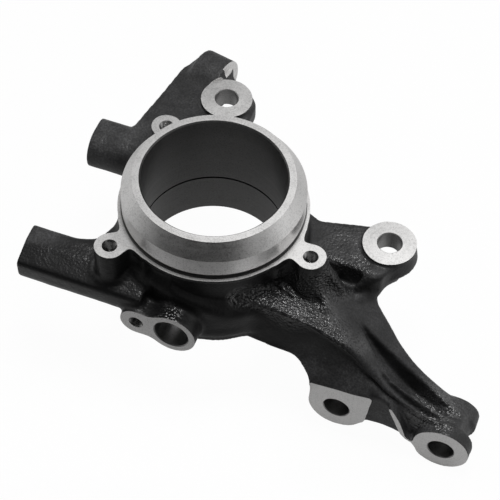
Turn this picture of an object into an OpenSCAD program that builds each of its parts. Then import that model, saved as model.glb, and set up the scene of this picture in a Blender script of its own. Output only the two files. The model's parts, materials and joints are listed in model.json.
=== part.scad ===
// Steering knuckle: one iron casting with machined seats and holes.
// Origin: on the axis of the bearing bore, in the hub's outer end face.
// +Z points outboard along the bore, +X points up in the car, +Y towards the caliper's side.

/* [Hub] */
// Diameter of the wheel bearing's bore
bore_d = 82; // [80:0.5:84]
// Length of the hub barrel along the bore
hub_len = 77; // [76:0.5:79]
// Depth of the narrow groove in the bore
groove_depth = 48.6; // [44:0.2:54]
// Width of the narrow groove in the bore
groove_w = 1.4; // [1:0.1:2.2]
// Diameter of the hub's outer end face
face_d = 91.6; // [89:0.2:96]
// Depth of the cone behind the end face
cone_depth = 9.4; // [8:0.2:11]
// Diameter of the pilot that centres the dust shield
pilot_d = 104; // [102:0.5:106]
// Depth at which the pilot ends in a relief
pilot_depth = 19.5; // [18:0.5:21]
// Diameter of the barrel's lower skirt
skirt_d = 110; // [108:0.5:112]

/* [Dust shield flange] */
// Depth of the flange face below the end face
flange_depth = 24; // [23:0.5:25]
// Diameter of the flange
flange_d = 107.4; // [106.5:0.2:109]
// Distance of the three tapped holes from the bore axis
lug_pitch_r = 64.8; // [63:0.2:67]
// Radius of each lug
lug_r = 8.8; // [8:0.2:10]
// Core diameter of the tapped holes
lug_hole_d = 6.8; // [5:0.1:7]
// Depth of the tapped holes
lug_hole_depth = 20; // [15:1:22]

/* [Caliper bosses] */
// Distance of both bolt holes from the bore axis
caliper_r = 101; // [98:0.5:103]
// Depth of the boss faces below the end face
caliper_depth = 45.4; // [44:0.2:47]
// Thickness of the bosses between their faces
caliper_boss_t = 13; // [12:0.5:14]
// Diameter of the boss faces
caliper_boss_d = 31.4; // [30:0.2:33]
// Diameter of the bolt holes
caliper_hole_d = 14; // [12:0.5:15]

/* [Strut tab] */
// Thickness of the tab between its machined faces
tab_t = 30; // [29:0.5:31]
// Distance between the two bolt holes along X
strut_pitch_x = 63.7; // [63:0.1:64.5]
// Diameter of the strut bolt holes
strut_hole_d = 15.4; // [14:0.2:17]
// Diameter of the round boss faces
strut_boss_d = 33.4; // [32:0.2:34]

/* [Steering arm] */
// Depth of the plate's upper face below the end face
plate_depth = 49.5; // [49:0.5:51]
// Thickness of the plate
plate_t = 13; // [12:0.5:15]
// Diameter of the tie rod boss
tie_boss_d = 32; // [28:0.5:34]
// Diameter of the tie rod's tapered hole at its wide end
tie_hole_d = 15; // [12:0.5:17]

/* [Ball joint stubs] */
// Depth of the bolt holes in the ends of the stubs
stub_hole_depth = 38; // [30:1:45]
// Core diameter of the bolt holes in the stubs
stub_hole_d = 10.2; // [8:0.1:12]
// Width of the stub under the steering arm
stub_w = 29; // [28:0.5:31]
// Height of the stub under the steering arm
stub_h = 26; // [26:0.5:28]

/* [Sensor boss] */
// Diameter of the wheel speed sensor's hole
sensor_hole_d = 20.2; // [18:0.2:21]
// Core diameter of the sensor's screw hole
sensor_screw_d = 6.8; // [5:0.1:8]

/* [Hidden] */

cast_colour = [0.13, 0.13, 0.14];
eps = 0.01;

// Places shared by several features
lug_angles = [-131.2, -13.2, 136.8];
caliper_angles = [107, 15.7];
floor_z = -plate_depth;
hub_bottom_z = -hub_len;
neck_r = 50;
tab_near_y = -48;
tab_far_y = tab_near_y + tab_t;
strut_holes = [[95.2, -111], [95.2 + strut_pitch_x, -118.8]];
far_boss_d = 27;
far_boss_shift = [1.2, -1.7];
stub_a_end = -95.5;
stub_b_end = -95.2;
stub_a_centre = [-48.5, -59];
stub_b_centre = [47, -63.6];
tie_centre = [118.5, -57.5];
tie_x = [-62, -35.4];
sensor_face_y = -65;
sensor_centre = [0, -65.4];
sensor_screw = [-21.3, -64.8];
thread_chamfer = 1;

// Points of an arc from angle a0 to angle a1
function arc(c, r, a0, a1, n) =
    [for (i = [0:n]) let (a = a0 + (a1 - a0) * i / n) [c[0] + r * cos(a), c[1] + r * sin(a)]];

function wrap(a) = a > 180 ? wrap(a - 360) : a < -180 ? wrap(a + 360) : a;

function unit(v) = v / norm(v);

// Outline through corners [x, y, radius], each corner rounded by an arc of its radius
function rounded(corners, steps = 7) =
    let (count = len(corners))
    [for (i = [0:count - 1])
        let (
            p = [corners[i][0], corners[i][1]],
            before = corners[(i + count - 1) % count],
            after = corners[(i + 1) % count],
            u = unit([before[0], before[1]] - p),
            v = unit([after[0], after[1]] - p),
            r = corners[i][2],
            half = acos(min(1, max(-1, u * v))) / 2)
        each (r <= 0 ? [p] :
            let (
                reach = r / tan(half),
                centre = p + unit(u + v) * r / sin(half),
                from = p + u * reach - centre,
                to = p + v * reach - centre,
                a0 = atan2(from[1], from[0]),
                turn = wrap(atan2(to[1], to[0]) - a0))
            arc(centre, r, a0, a0 + turn, steps))];

// Extrudes a drawing of (x, z) along Y, from y0 to y1
module along_y(y0, y1) {
    translate([0, y1, 0]) rotate([90, 0, 0]) linear_extrude(y1 - y0) children();
}

// Extrudes a drawing of (y, z) along X, from x0 to x1
module along_x(x0, x1) {
    translate([x0, 0, 0]) rotate([90, 0, 90]) linear_extrude(x1 - x0) children();
}

// Extrudes a drawing of (x, y) along Z, from z0 to z1
module along_z(z0, z1) {
    translate([0, 0, z0]) linear_extrude(z1 - z0) children();
}

// Hub barrel: end face, cone, pilot, relief, flange, cast neck and wider skirt
module hub_barrel() {
    flange_t = 2.2;
    relief_r = pilot_d / 2 - 1.8;
    skirt_top = -40;
    skirt_edge = 2.5;
    rotate_extrude($fn = 120) polygon([
        [0, 0],
        [face_d / 2, 0],
        [pilot_d / 2, -cone_depth],
        [pilot_d / 2, -pilot_depth],
        [relief_r, -pilot_depth - 1],
        [relief_r, -flange_depth],
        [flange_d / 2, -flange_depth],
        [flange_d / 2, -flange_depth - flange_t],
        [neck_r, -flange_depth - flange_t - 2],
        [neck_r, skirt_top + 4],
        [skirt_d / 2 - 1.5, skirt_top],
        [skirt_d / 2, skirt_top - 3],
        [skirt_d / 2, hub_bottom_z + skirt_edge],
        [skirt_d / 2 - skirt_edge, hub_bottom_z],
        [0, hub_bottom_z]]);
}

// Web from a depth inside the flange's edge to a lug on the X axis, with a hollow fillet on each side
module lug_web(fillet_r, depth) {
    bite = 0.35;
    flange_r = flange_d / 2;
    to_flange = flange_r - bite + fillet_r;
    to_lug = lug_r - bite + fillet_r;
    hub_angle = acos((to_flange ^ 2 + lug_pitch_r ^ 2 - to_lug ^ 2) / (2 * to_flange * lug_pitch_r));
    centre = to_flange * [cos(hub_angle), sin(hub_angle)];
    lug_side = [lug_pitch_r, 0] - centre;
    lug_angle = atan2(lug_side[1], lug_side[0]);
    side = arc(centre, fillet_r, 180 + hub_angle, 360 + lug_angle, 8);
    back = [for (i = [len(side) - 1:-1:0]) side[i]];
    mirrored = [for (p = side) [p[0], -p[1]]];
    polygon(concat([[flange_r - depth, 0]], mirrored, [[lug_pitch_r, 0]], back));
}

// Dust shield lug: a round column with its web, from the flange face down to the casting
module lug(angle, foot_z) {
    rotate([0, 0, angle]) {
        translate([lug_pitch_r, 0, foot_z])
            cylinder(h = -flange_depth - foot_z, r = lug_r, $fn = 48);
        along_z(foot_z, -flange_depth - 1) lug_web(9, 6);
        along_z(-flange_depth - 2, -flange_depth) lug_web(9, 1.8);
    }
}

// Rounded stub with a sloping top, under the first lug
module stub_a() {
    w = 13.2;
    h = 13;
    y = stub_a_centre[0];
    z = stub_a_centre[1];
    slope = 2.8;
    along_x(stub_a_end, -20) polygon(rounded([
        [y - w, z + h - slope, 3],
        [y - w + 1.2, z - h + 2.4, 12],
        [y + w, z - h + 1, 8],
        [y + w, z + h + slope, 4]], 6));
}

// Rounded stub under the steering arm's plate
module stub_b() {
    w = stub_w / 2;
    h = stub_h / 2;
    y = stub_b_centre[0];
    z = stub_b_centre[1];
    along_x(stub_b_end, -34) polygon(rounded([
        [y - w, z + h + 1, 13],
        [y - w + 1, z - h + 1.4, 12],
        [y + w, z - h, 9],
        [y + w, z + h + 1, 9]], 8));
}

// Web that joins both stubs to the hub's lower half
module stub_root() {
    along_z(-72, -54) polygon(rounded([
        [-20, -50, 0], [-58, -40, 12], [-54, -6, 26], [-58, 36, 12], [-20, 52, 0]]));
}

// Gusset between the first stub's top and the barrel
module stub_gusset() {
    along_z(-62, -45) polygon(rounded([
        [-36, -40, 0], [-68, -39, 0], [-57.5, -30, 12], [-51, -12, 0], [-36, -10, 0]]));
}

// Steering arm: a flat plate from the round stub to the tie rod boss and the first caliper boss
module steering_plate() {
    along_z(floor_z - plate_t, floor_z) polygon(rounded([
        [-20, 40, 0],
        [-76.6, 44, 1.5],
        [-64.8, 117, 14],
        [-57, 128, 6],
        [-37, 128, 3],
        [-29.5, 112, 6],
        [-12, 104, 10],
        [-12, 84, 20],
        [14, 46, 0]]));
}

// Tie rod boss: a cylinder along X at the end of the plate, with a conical lower end
module tie_boss() {
    cone_h = 8.5;
    translate([tie_x[0], tie_centre[0], tie_centre[1]]) rotate([0, 90, 0]) {
        cylinder(h = cone_h, d1 = tie_hole_d + 3, d2 = tie_boss_d, $fn = 60);
        translate([0, 0, cone_h]) cylinder(h = tie_x[1] - tie_x[0] - cone_h, d = tie_boss_d, $fn = 60);
    }
}

// Caliper boss with its cast foot
module caliper_boss(angle) {
    foot = 1.6;
    rotate([0, 0, angle]) translate([caliper_r, 0, -caliper_depth - caliper_boss_t]) {
        cylinder(h = caliper_boss_t, d = caliper_boss_d, $fn = 72);
        cylinder(h = caliper_boss_t - 3, d1 = caliper_boss_d + 2 * foot, d2 = caliper_boss_d, $fn = 72);
    }
}

// Arm from the hub to the second caliper boss
module caliper_arm() {
    along_z(-61, -48.5) polygon(rounded([
        [20, 11, 0], [88, 11, 0], [108, 16, 10], [104, 42, 12], [86, 38.4, 12], [54, 30.6, 5], [44, 35, 0], [20, 36, 0]]));
    along_z(hub_bottom_z + 4, -52) polygon(rounded([
        [20, -10, 0], [92, -6, 2], [99, 4, 6], [92, 24, 20], [60, 29, 20], [20, 32, 0]]));
}

// Stations of the strut arm along X. Each row holds the place, the ridge's height, the near and far
// edges, the crest's drop, the far rib's drop, and the heights of the shoulder and the tab's top edge
arm_stations = [
    [20, -48.6, -38, 11, 1.5, 0, -80.8, -98.5],
    [60, -51.2, -38, 11, 1.5, 0, -80.8, -98.5],
    [74, -54.0, -38, 10, 1.5, 0, -80.8, -97],
    [86, -59.6, -38, 9, 2, 0, -80.8, -95.8],
    [96, -66.0, -38, 6, 3, 0, -82, -95],
    [104, -71.4, -38.5, 0, 6, 0, -84.5, -94],
    [112, -76.6, -39.5, -5.2, 7, 0, -87, -93.4],
    [120, -82.0, -40.5, -11, 5, 0, -90.6, -95],
    [128, -87.6, -41, -14.6, 4, 0, -94.3, -99],
    [138, -93.6, -41, -17.4, 3, 0, -98.6, -104],
    [150, -99.4, -41, -18.4, 3, 2, -102, -107.2],
    [162, -103.4, -41, -19, 3, 5, -105.2, -109.6],
    [172, -106.0, -41, -19, 3, 6, -108, -112]];

// Stations of the hollow between the arm's two ribs. Each row holds the place, the near and far edges
// and the floor's height
channel_stations = [
    [98, -21, -16.5, -66.0],
    [104, -26, -17, -76.4],
    [112, -30, -19.5, -86.6],
    [120, -32, -22.5, -94.0],
    [128, -32.5, -24, -100.6],
    [138, -33, -24.5, -106.6],
    [150, -33, -24.5, -111.4],
    [162, -33, -24.5, -112.4],
    [172, -33, -24.5, -111]];

// Section of the strut arm across X: ridge, sloping near side, foot and far side
function arm_section(s) =
    let (lip = 1.8, side_slope = 1.5, far_ridge = s[1] - s[5])
    [
        [s[2] + 0.8 * s[4], s[1]],
        [s[2], s[1] - s[4]],
        [s[2] - side_slope, s[6]],
        [tab_near_y, s[7]],
        [tab_near_y, -140],
        [s[3], -140],
        [s[3], far_ridge - lip],
        [s[3] - lip, far_ridge]];

// Section of the hollow across X: it opens upwards from its floor
function channel_section(s) =
    let (wall = 2.5, open_z = -40)
    [[s[1] - 2, open_z], [s[1] + wall, s[3]], [s[2] - wall + 0.6, s[3]], [s[2] + 2, open_z]];

// Solid through equal sections that stand across X
module loft_x(stations, sections) {
    n = len(sections[0]);
    last = len(stations) - 1;
    points = [for (i = [0:last]) for (p = sections[i]) [stations[i][0], p[0], p[1]]];
    sides = [for (i = [0:last - 1]) for (j = [0:n - 1])
        let (a = i * n + j, b = i * n + (j + 1) % n)
        each [[a, b + n, b], [a, a + n, b + n]]];
    first_cap = [for (j = [0:n - 1]) j];
    last_cap = [for (j = [n - 1:-1:0]) last * n + j];
    polyhedron(points, concat(sides, [first_cap, last_cap]), convexity = 6);
}

// Space under the arm's far side, so that both strut bolts come out through a face of the same depth
module arm_underside() {
    wall = 2;
    along_y(tab_far_y - wall, 30) polygon(rounded([
        [70, -150, 0], [70, -90, 4], [92, -94, 8], [113, -97, 10], [130, -108, 6], [136, -150, 0]]));
}

// Strut arm: the lofted ridge and sides, trimmed from below by the arm's side view
module strut_arm() {
    difference() {
        intersection() {
            loft_x(arm_stations, [for (s = arm_stations) arm_section(s)]);
            along_y(-60, 30) polygon(rounded([
                [22, -40, 0],
                [150, -80, 0],
                [167, -101, 8],
                [168.5, -124, 8],
                [160, -133, 10],
                [146, -124, 14],
                [126, -115.6, 30],
                [110, -117.8, 10],
                [93, -130, 14],
                [79, -115, 12],
                [78, -94, 14],
                [66, -84, 14],
                [40, -83, 10],
                [22, -79, 0]]));
        }
        arm_underside();
    }
    for (hole = strut_holes) {
        along_y(tab_near_y, tab_near_y + 9) translate(hole) circle(d = strut_boss_d, $fn = 72);
        along_y(tab_near_y + 3, tab_far_y - 3) translate(hole) circle(d = strut_boss_d - 9, $fn = 72);
        along_y(tab_far_y - 10, tab_far_y) translate(hole + far_boss_shift) circle(d = far_boss_d, $fn = 72);
    }
}

// Hollow between the strut arm's two ribs
module arm_channel() {
    loft_x(channel_stations, [for (s = channel_stations) channel_section(s)]);
}

// Low places on the near side of the tab: beside the first machined face, and past a curved edge
module tab_relief() {
    second = strut_holes[1];
    along_y(tab_near_y - 1, tab_near_y + 1.6) polygon([
        [115.8, -88], [112.8, -114], [106, -140], [152, -140], [147, -126.5], [139.4, -122.4],
        [134.4, -116.6], [129, -104], [122, -88]]);
    along_y(tab_near_y - 1, tab_near_y + 5) difference() {
        polygon(rounded([
            [124, -88, 0], [133.6, -106, 40], [137.6, -118, 5], [146, -123, 0], [152, -140, 0], [180, -140, 0], [180, -88, 0]]));
        translate(second) circle(d = strut_boss_d, $fn = 72);
    }
}

// Rib from the second lug down to the strut arm
module lug_rib() {
    rib_t = 7;
    translate([63.1, -14.8, 0]) rotate([0, 0, 28]) along_y(-rib_t / 2, rib_t / 2)
        polygon([[0, -26], [8.5, -27.5], [21.5, -59], [22, -66], [0, -66]]);
}

// Three-cornered pocket between that rib and the caliper arm
module arm_pocket() {
    along_z(-63, -40) polygon(rounded([[66, 10.4, 2], [93, 10.4, 2], [84.5, -2.6, 3]], 4));
}

// Foot that hangs below the barrel, beside the sensor boss
module barrel_foot() {
    foot_z = hub_bottom_z - 3.8;
    rotate([0, 0, -84]) rotate_extrude(angle = 36, $fn = 120)
        polygon([[43, foot_z], [skirt_d / 2 - 0.6, foot_z], [skirt_d / 2 - 0.6, hub_bottom_z + 6], [43, hub_bottom_z + 6]]);
}

// Sensor boss: two round pads joined in a figure of eight
module sensor_boss() {
    big_r = sensor_hole_d / 2 + 4.4;
    small_r = 9.8;
    along_y(sensor_face_y, -40) {
        translate(sensor_centre) circle(r = big_r, $fn = 72);
        translate(sensor_screw) circle(r = small_r, $fn = 48);
        polygon([
            sensor_screw + [0, 8.4], sensor_centre + [-7, 9.4],
            sensor_centre + [-5, -12.4], sensor_screw + [-4, -8.8]]);
    }
}

// Everything that leaves the mould, before machining
module casting() {
    hub_barrel();
    for (a = lug_angles) lug(a, floor_z - 6);
    stub_a();
    stub_b();
    stub_root();
    stub_gusset();
    steering_plate();
    tie_boss();
    for (a = caliper_angles) caliper_boss(a);
    barrel_foot();
    difference() {
        union() {
            strut_arm();
            caliper_arm();
        }
        arm_channel();
        tab_relief();
        arm_pocket();
    }
    lug_rib();
    sensor_boss();
}

// Bearing bore with its mouth chamfers and groove
module bearing_bore() {
    r = bore_d / 2;
    chamfer = 0.8;
    groove_r = r + 1.6;
    rotate_extrude($fn = 120) polygon([
        [0, eps],
        [r + chamfer + eps, eps],
        [r, -chamfer],
        [r, -groove_depth],
        [groove_r, -groove_depth],
        [groove_r, -groove_depth - groove_w],
        [r, -groove_depth - groove_w],
        [r, hub_bottom_z + chamfer],
        [r + chamfer, hub_bottom_z],
        [r + chamfer, hub_bottom_z - 20],
        [0, hub_bottom_z - 20]]);
}

// Round hole down from z = 0, with a chamfered mouth
module chamfered_hole(d, depth, chamfer) {
    rotate_extrude($fn = 48) polygon([
        [0, eps],
        [d / 2 + chamfer + eps, eps],
        [d / 2, -chamfer],
        [d / 2, -depth],
        [0, -depth]]);
}

module machining() {
    bearing_bore();
    for (a = lug_angles) rotate([0, 0, a]) translate([lug_pitch_r, 0, -flange_depth])
        chamfered_hole(lug_hole_d, lug_hole_depth, 0.7);
    spotface_d = 28;
    for (a = caliper_angles) rotate([0, 0, a]) translate([caliper_r, 0, -caliper_depth]) {
        chamfered_hole(caliper_hole_d, caliper_boss_t + 20, 0.5);
        translate([0, 0, -caliper_boss_t - 20]) cylinder(h = 20, d = spotface_d, $fn = 72);
    }
    for (hole = strut_holes) translate([hole[0], tab_near_y, hole[1]]) rotate([90, 0, 0])
        chamfered_hole(strut_hole_d, tab_t + 1, 0.5);
    translate([tie_x[1] + eps, tie_centre[0], tie_centre[1]]) rotate([0, -90, 0])
        cylinder(h = tie_x[1] - tie_x[0] + 3, d1 = tie_hole_d - 3, d2 = tie_hole_d, $fn = 48);
    translate([stub_a_end, stub_a_centre[0], stub_a_centre[1]]) rotate([0, -90, 0])
        chamfered_hole(stub_hole_d, stub_hole_depth, thread_chamfer);
    translate([stub_b_end, stub_b_centre[0], stub_b_centre[1]]) rotate([0, -90, 0])
        chamfered_hole(stub_hole_d, stub_hole_depth, thread_chamfer);
    translate([sensor_centre[0], sensor_face_y, sensor_centre[1]]) rotate([90, 0, 0])
        chamfered_hole(sensor_hole_d, -sensor_face_y - 30, 0.6);
    translate([sensor_screw[0], sensor_face_y, sensor_screw[1]]) rotate([90, 0, 0])
        chamfered_hole(sensor_screw_d, 16, 0.6);
}

module knuckle() {
    color(cast_colour) difference() {
        casting();
        machining();
    }
}

knuckle();
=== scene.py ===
"""Looks of a steering knuckle: a black, rough iron casting with bright machined faces, holes and threads."""

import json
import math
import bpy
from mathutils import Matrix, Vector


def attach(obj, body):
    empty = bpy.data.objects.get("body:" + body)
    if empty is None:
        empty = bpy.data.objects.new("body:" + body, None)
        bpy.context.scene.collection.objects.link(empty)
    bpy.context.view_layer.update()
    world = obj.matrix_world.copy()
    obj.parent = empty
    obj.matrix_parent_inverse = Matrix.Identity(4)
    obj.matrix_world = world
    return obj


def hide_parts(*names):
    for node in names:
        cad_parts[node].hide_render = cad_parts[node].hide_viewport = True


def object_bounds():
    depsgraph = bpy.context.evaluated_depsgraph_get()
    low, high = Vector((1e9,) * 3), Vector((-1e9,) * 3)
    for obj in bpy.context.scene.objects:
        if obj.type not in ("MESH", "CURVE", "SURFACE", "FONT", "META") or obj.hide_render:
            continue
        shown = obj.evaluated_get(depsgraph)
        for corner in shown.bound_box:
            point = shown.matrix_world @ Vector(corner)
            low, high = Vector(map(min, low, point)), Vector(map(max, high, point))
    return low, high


bl_info = {
    "name": "Steering Knuckle",
    "version": (1, 0, 0),
    "blender": (4, 5, 0),
    "location": "View3D > Sidebar > Knuckle",
    "description": "Casts a steering knuckle from distance fields, machines it and lights it",
    "category": "Add Mesh",
}

import bmesh
import bpy
import numpy as np
from mathutils import Matrix, Vector

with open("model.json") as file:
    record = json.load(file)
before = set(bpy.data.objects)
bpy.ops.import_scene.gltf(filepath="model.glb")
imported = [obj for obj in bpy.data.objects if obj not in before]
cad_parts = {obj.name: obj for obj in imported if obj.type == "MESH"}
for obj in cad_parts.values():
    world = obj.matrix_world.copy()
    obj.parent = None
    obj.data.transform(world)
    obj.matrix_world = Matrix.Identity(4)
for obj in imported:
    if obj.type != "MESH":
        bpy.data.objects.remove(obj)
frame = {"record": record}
CAD_BOX = [np.array(corner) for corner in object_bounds()]
MOUNTS = {mount["name"]: mount for mount in frame["record"]["mounts"]}
MM, WHITE = 0.001, (1, 1, 1, 1)


# Sizes and places, in millimetres


def mount_place(name):
    """A mount's point in millimetres."""
    return np.array(MOUNTS[name]["pos_m"]) / MM


def mount_radius(name):
    """A bore mount's radius in millimetres."""
    return MOUNTS[name]["dims"]["r_mm"]


BORE_R = mount_radius("hub_bore")
HUB_BOTTOM = -77.0
GROOVE_TOP, GROOVE_W, GROOVE_R = -48.6, 1.4, BORE_R + 1.6
FACE_R, CONE_DEPTH = 45.8, 9.4
PILOT_R, PILOT_DEPTH, RELIEF_R = 52.0, 21.0, 50.4
FLANGE_R, FLANGE_T, RELIEF_Z = 53.7, 2.8, -25.8
NECK_R, SKIRT_R, SKIRT_TOP = 50.0, 55.0, -40.0

# A mount stands at the end of its hole's wall, so a face lies one chamfer further out
LUGS = [mount_place(f"dust_shield_hole_{i}")[:2] for i in (1, 2, 3)]
LUG_R, LUG_FILLET, LUG_FOOT, FLANGE_Z = 8.8, 9.0, -55.5, -24.0
LUG_HOLE_R, LUG_HOLE_DEPTH = mount_radius("dust_shield_hole_1"), 20

CALIPERS = [mount_place(f"caliper_bolt_{i}")[:2] for i in (1, 2)]
CALIPER_Z, CALIPER_HOLE_R = -45.4, mount_radius("caliper_bolt_1")
CALIPER_BOSS_R, CALIPER_BOSS_T, SPOTFACE_R = 15.7, 13.0, 14

STRUTS = [mount_place(f"strut_bolt_{i}")[[0, 2]] for i in (1, 2)]
TAB_NEAR, TAB_FAR, STRUT_HOLE_R = -48.0, -18.0, mount_radius("strut_bolt_1")
STRUT_BOSS_R, FAR_BOSS_R, FAR_FACE_R = 16.7, 13.5, 14.2
FAR_BOSS_SHIFT = np.array([1.2, -1.7])

PLATE_TOP, PLATE_T = -49.5, 13.0
TIE = mount_place("tie_rod_taper")
TIE_END, TIE_R, TIE_WIDE_R, TIE_NARROW_R = -35.4, 16.0, 7.5, 6.0
TIE_TURN, TIE_HALF, TIE_MIDDLE = math.radians(-11.5), 9.3, np.array([-48.0, 118.5])
TIE_AXIS = np.array([math.cos(TIE_TURN), math.sin(TIE_TURN)])

STUB_A = np.array([-95.5, *mount_place("lower_stub_bolt_1")[1:]])
STUB_B = np.array([-95.2, *mount_place("lower_stub_bolt_2")[1:]])
STUB_HOLE_R, STUB_HOLE_DEPTH, STUB_FACE_R = mount_radius("lower_stub_bolt_1"), 38, 24

SENSOR_Y, SENSOR_END, SCREW_DEPTH = -65.0, -36, 16
SENSOR, SENSOR_R = mount_place("sensor_bore")[[0, 2]], mount_radius("sensor_bore")
SENSOR_SCREW, SCREW_R = mount_place("sensor_screw_hole")[[0, 2]], mount_radius("sensor_screw_hole")
SENSOR_PAD_R, SCREW_PAD_R = SENSOR_R + 4.4, 9.8

# The camera: its turn about Z, height and roll, focal length in pixels, distance to the origin in
# millimetres, the pixel where the origin shows, the frame's width in pixels and the sensor's width
AZIMUTH, ELEVATION, ROLL = math.radians(19), math.radians(52.45), math.radians(2.25)
FOCAL_PX, DISTANCE, ORIGIN_PX, FRAME_PX, SENSOR_WIDTH = 1700.0, 937.5, (214.30, 176.83), 500, 36

# Directions on the floor, away from the camera and to its right
AWAY = np.array([-math.sin(AZIMUTH), math.cos(AZIMUTH), 0])
SIDE = np.array([math.cos(AZIMUTH), math.sin(AZIMUTH), 0])

# Stock left for the machining, and the distance that stands for outside everything
STOCK, OUTSIDE = 1.5, 40

# Stations of the strut arm along X: place, ridge height, near edge, far edge, crest drop, far rib's
# drop, shoulder height and the height of the tab's top edge
ARM_STATIONS = np.array([
    [20, -48.8, -38, 11, 3, 0, -80.8, -98.5],
    [48, -49.6, -38.4, 11, 3, 0, -80.8, -98.5],
    [60, -50.8, -38.4, 11, 3, 0, -80.8, -98.5],
    [74, -54.0, -38.4, 10, 3, 0, -80.8, -97],
    [86, -59.6, -38.2, 9, 3.2, 0, -80.8, -95.8],
    [96, -66.0, -38.2, 6, 3.6, 0, -82, -95],
    [104, -71.4, -39.5, 0, 4, 0, -84.5, -94.3],
    [112, -76.6, -41.5, -5.2, 4.3, 0, -85.5, -92.6],
    [120, -82.0, -43.5, -11, 4.5, 0, -89, -91.5],
    [128, -87.6, -44.2, -14.6, 4.5, 0, -94, -95.5],
    [138, -93.6, -44.5, -17.4, 4.5, 0, -100.5, -103],
    [150, -99.4, -44.8, -18.4, 4.5, 2, -107, -108.5],
    [162, -103.4, -45, -19, 4.5, 5, -110.5, -111.5],
    [178, -107.4, -45, -19, 4.5, 7, -114, -115]])

# Stations of the hollow between the arm's ribs: place, near edge, far edge and depth
CHANNEL_STATIONS = np.array([
    [95, -17.6, -17.2, 0.5],
    [98, -19.6, -17.1, 3.0],
    [105, -25.2, -18.6, 7.0],
    [112, -31.2, -20.0, 10.0],
    [118, -34.2, -20.8, 12.0],
    [124, -35.9, -21.6, 13.0],
    [134, -36.3, -23.0, 13.0],
    [148, -35.9, -25.6, 11.5],
    [160, -35.3, -28.4, 8.0],
    [168, -33.0, -30.2, 3.0],
    [171, -32.0, -31.4, 0.5]])

# Stations of the groove in front of the arm's thin middle rib: place, middle, half width and depth
GROOVE_STATIONS = np.array([
    [112, -35.0, 0.3, 0.3],
    [117, -36.6, 1.6, 4.0],
    [124, -38.7, 2.1, 6.0],
    [134, -39.2, 2.1, 6.4],
    [150, -39.2, 2.1, 6.4],
    [160, -38.8, 1.9, 5.0],
    [166, -38.4, 0.3, 0.3]])

# Places where the sand left the skin pebbly: x, y, z, radius and how pebbly
PEBBLY_SPOTS = np.array([
    [60, -20, -50, 26, 1.0], [72, -8, -44, 20, 1.0], [-4, -62, -53, 10, 0.7], [-20, -57, -53, 12, 0.1],
    [-50, -40, -44, 16, 0.1], [-60, -52, -50, 50, 0.06], [-72, 50, -50, 30, 0.15], [80, 22, -49, 26, 0.35],
    [150, -34, -102, 22, 0.8], [-50, 90, -50, 50, 0.08], [68, -26, -44, 16, 1.0], [88, -31, -53, 14, 0.8],
    [104, -33, -63, 13, 0.6], [84, 2, -50, 12, 0.7], [30, -37, -49, 9, 1.0], [38, -36, -48, 10, 1.0],
    [46, -34, -49, 12, 1.0], [52, -36, -47, 10, 1.0], [62, -35, -48, 10, 1.0], [72, -34, -50, 10, 0.9],
    [82, -34, -54, 9, 0.8], [92, -35, -60, 9, 0.6], [69, -9, -36, 9, 1.0], [75, -7, -45, 9, 1.0],
    [81, -5, -54, 9, 1.0]])

# Places where the coat is painted greyer, or with a minus blacker: x, y, z, radius and weight
# Partly thin grey coat, partly painted light on dimly lit faces and painted shade, such as the minus
# spots under the strut arm's crest and on the first stub's near half
GREY_COAT_AND_PAINTED_LIGHT_SPOTS = np.array([
    [100, -46, -106, 40, 0.9], [76, -42, -84, 22, 0.5], [94, 24, -56, 26, 0.55], [163, -24, -110, 28, 0.45],
    [-90, 50, -58, 28, 0.8], [10, -56, -66, 14, 0.6], [125, -14, -84, 34, 0.2], [138, -44, -112, 22, 0.7],
    [-48, 118, -44, 24, 0.35], [70, -6, -44, 18, 0.4], [124, -46, -112, 16, 0.7], [-64, -60, -52, 34, -0.9],
    [-30, -54, -54, 30, -0.8], [20, -56, -60, 34, -0.8], [46, -50, -70, 20, -0.5], [-90, -40, -46, 20, 0.2],
    [54, -46, -58, 13, -0.7], [72, -47, -61, 11, -0.7], [86, -47, -65, 10, -0.7], [98, -47, -73, 9, -0.7],
    [108, -47, -81, 8, -0.7], [116, -47, -87, 7, -0.7], [-94, -63, -47, 18, -0.8], [-80, -63, -47, 18, -0.8],
    [-66, -63, -47, 18, -0.6], [-92, -36, -41, 16, 0.5], [-76, -36, -41, 16, 0.4], [92, -46, -92, 22, 0.7],
    [34, -36, -49, 14, 0.9], [60, -24, -50, 22, 0.3]])

# How each tool leaves the iron: size and depth of its marks in millimetres, roughness and tone
# The bored and threaded tones are set low as painted shade inside the hub's bore and the tapped holes
FINISHES = {
    "turned": (0.5, 0.02, 0.27, 1.12), "milled": (0.4, 0.015, 0.30, 1.1),
    "faced": (0.4, 0.015, 0.30, 0.86), "bored": (0.4, 0.02, 0.32, 0.14),
    "drilled": (0.3, 0.015, 0.30, 0.42), "threaded": (0.3, 0.01, 0.14, 0.45)}


class CastingSettings(bpy.types.PropertyGroup):
    """Sizes of the raw casting that a user would change."""

    step: bpy.props.FloatProperty(
        name="Grid step", description="Spacing of the grid that the casting is worked out on",
        default=1.15 * MM, min=0.8 * MM, max=4 * MM, unit="LENGTH", precision=5)
    fillet: bpy.props.FloatProperty(
        name="Fillet", description="Radius where two cast shapes meet",
        default=4 * MM, min=0, max=10 * MM, unit="LENGTH", precision=4)
    lump_height: bpy.props.FloatProperty(
        name="Lump height", description="How far the sand's slow unevenness lifts the skin",
        default=0.15 * MM, min=0, max=1 * MM, unit="LENGTH", precision=5)
    seed: bpy.props.IntProperty(
        name="Seed", description="Chooses the unevenness of the sand", default=7, min=0)


class MachiningSettings(bpy.types.PropertyGroup):
    """Sizes of the machined surfaces that a user would change."""

    hub_sides: bpy.props.IntProperty(
        name="Hub sides", description="Steps round the hub's turned surfaces", default=192, min=24)
    hole_sides: bpy.props.IntProperty(
        name="Hole sides", description="Steps round a drilled hole or a boss face", default=72, min=12)
    thread_pitch: bpy.props.FloatProperty(
        name="Thread pitch", description="Pitch of the dust shield's and the sensor's threads",
        default=1.25 * MM, min=0.5 * MM, max=3 * MM, unit="LENGTH", precision=5)


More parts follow.
